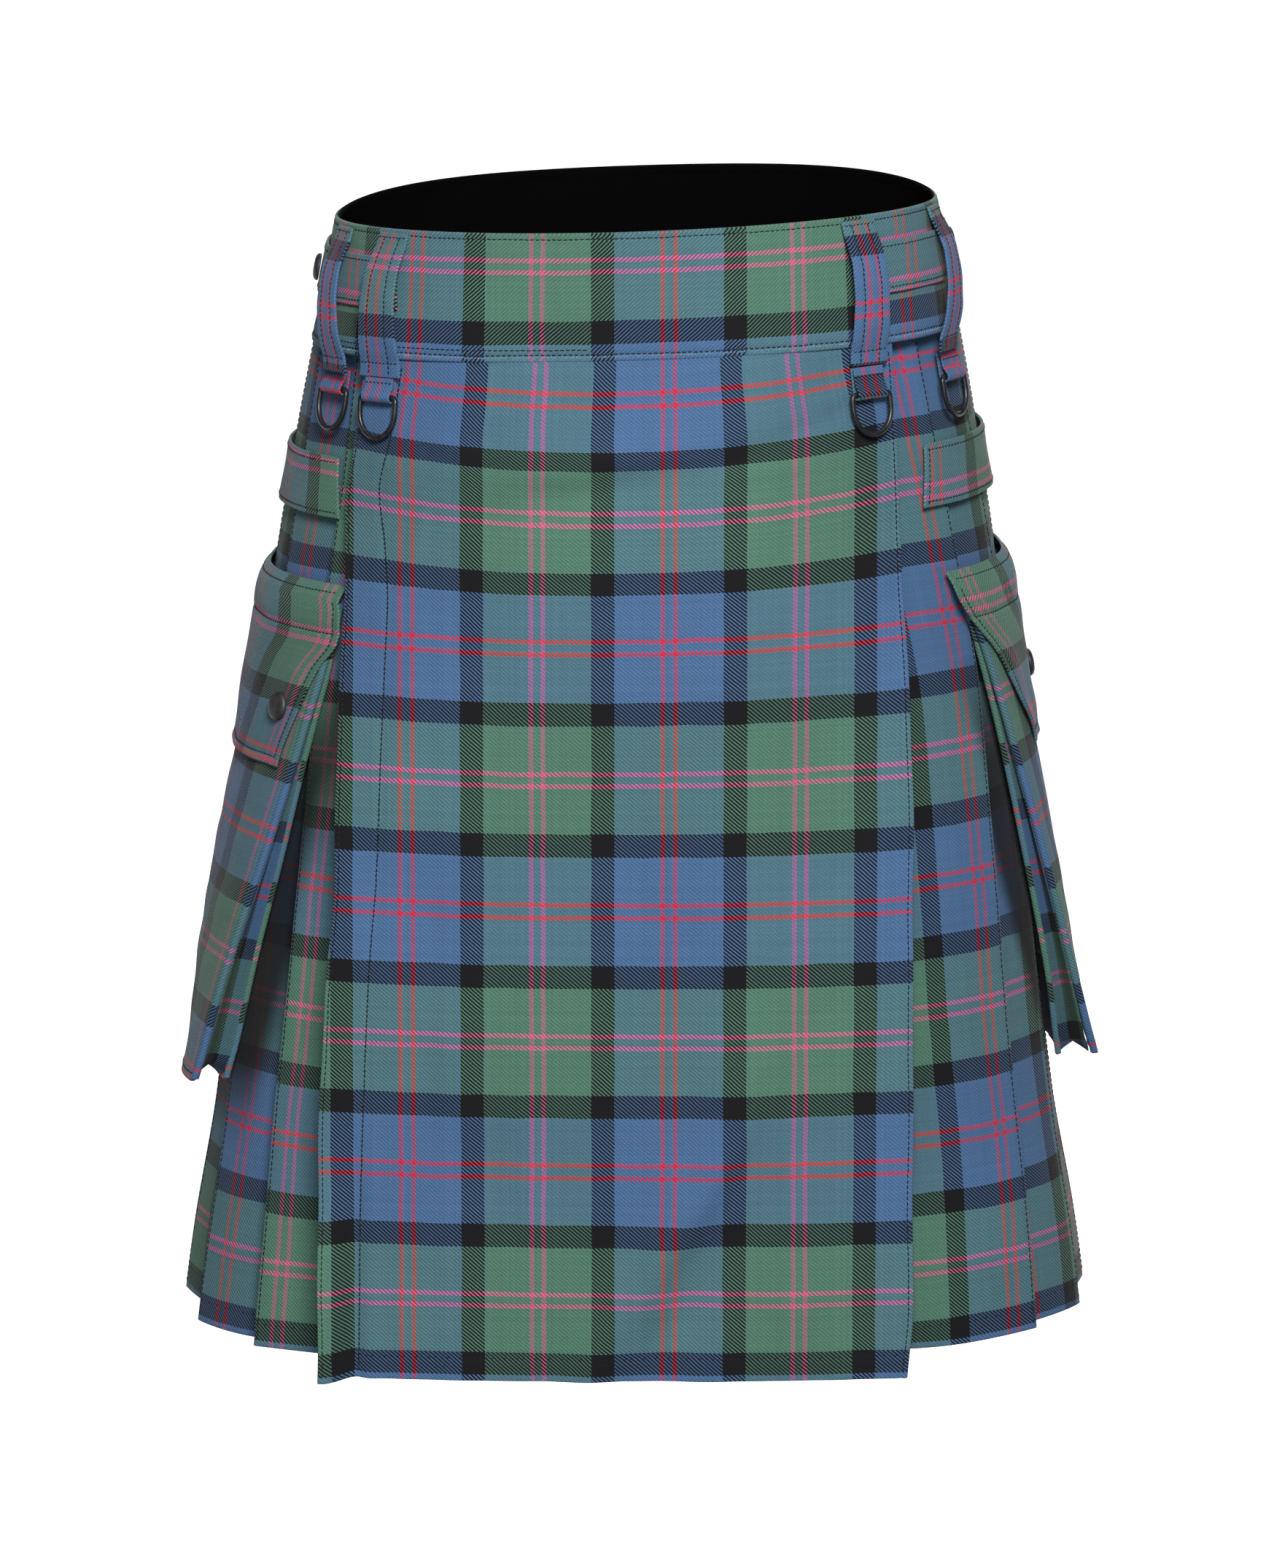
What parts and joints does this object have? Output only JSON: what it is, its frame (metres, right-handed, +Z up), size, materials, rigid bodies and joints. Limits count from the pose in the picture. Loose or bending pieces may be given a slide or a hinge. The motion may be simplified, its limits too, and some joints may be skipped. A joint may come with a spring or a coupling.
{
  "type": "utility kilt with bellows hip pockets",
  "caption": "Tartan utility kilt, hollow as when worn: waistband with belt loops and swinging D-rings, flat front apron, knife pleats round the back and bellows pockets on the hips.",
  "frame": {"origin": "centre of the waist, halfway up the waistband, where a wearer's waist holds the kilt", "axes": "+Z up towards the waist opening, front apron faces -Y, +X to the right as seen from the front"},
  "size_m": [0.5122, 0.3872, 0.6196],
  "materials": {
    "tartan_twill": "matte woven twill in a blue, green and black tartan with red and pink lines",
    "tartan_inside": "the wrong side of the same twill",
    "black_ring_wire": "black enamelled steel wire, semi-gloss",
    "black_snap_cap": "black enamelled snap cap, satin"
  },
  "bodies": {
    "garment": {"waistband": "tartan_twill", "front_apron": "tartan_twill", "under_apron": "tartan_inside", "pleats_right_front": "tartan_twill", "pleats_right_rear": "tartan_twill", "pleats_left_front": "tartan_twill", "pleats_left_rear": "tartan_twill", "belt_loop_1": "tartan_twill", "belt_loop_2": "tartan_twill", "belt_loop_3": "tartan_twill", "belt_loop_4": "tartan_twill", "belt_loop_back_1": "tartan_twill", "belt_loop_back_2": "tartan_twill", "belt_loop_back_3": "tartan_twill", "ring_tab_1": "tartan_twill", "ring_tab_2": "tartan_twill", "ring_tab_3": "tartan_twill", "ring_tab_4": "tartan_twill", "waist_strap_left": "tartan_twill", "hip_strap_left": "tartan_twill", "pocket_back_left": "tartan_twill", "pocket_gusset_left": "tartan_twill", "pocket_front_left": "tartan_twill", "pocket_flap_left": "tartan_twill", "waist_strap_right": "tartan_twill", "hip_strap_right": "tartan_twill", "pocket_back_right": "tartan_twill", "pocket_gusset_right": "tartan_twill", "pocket_front_right": "tartan_twill", "pocket_flap_right": "tartan_twill", "waist_snap_left": "black_snap_cap", "flap_snap_front_left": "black_snap_cap", "flap_snap_rear_left": "black_snap_cap", "waist_snap_right": "black_snap_cap", "flap_snap_front_right": "black_snap_cap", "flap_snap_rear_right": "black_snap_cap"},
    "d_ring_1_body": {"d_ring_1": "black_ring_wire"},
    "d_ring_2_body": {"d_ring_2": "black_ring_wire"},
    "d_ring_3_body": {"d_ring_3": "black_ring_wire"},
    "d_ring_4_body": {"d_ring_4": "black_ring_wire"}
  },
  "joints": [
    {"name": "d_ring_1_swing", "type": "hinge", "parent": "garment", "child": "d_ring_1_body", "pos_m": [-0.16328, -0.06301, -0.05716], "axis": [-0.6011, 0.799, -0.0172], "range_deg": [0, 130]},
    {"name": "d_ring_2_swing", "type": "hinge", "parent": "garment", "child": "d_ring_2_body", "pos_m": [-0.13794, -0.09894, -0.05669], "axis": [-0.7868, 0.6168, -0.0226], "range_deg": [0, 130]},
    {"name": "d_ring_3_swing", "type": "hinge", "parent": "garment", "child": "d_ring_3_body", "pos_m": [0.12514, -0.10903, -0.05327], "axis": [-0.8283, -0.5598, -0.0234], "range_deg": [0, 130]},
    {"name": "d_ring_4_swing", "type": "hinge", "parent": "garment", "child": "d_ring_4_body", "pos_m": [0.17156, -0.05181, -0.05136], "axis": [-0.506, -0.8624, -0.0143], "range_deg": [0, 130]}
  ]
}
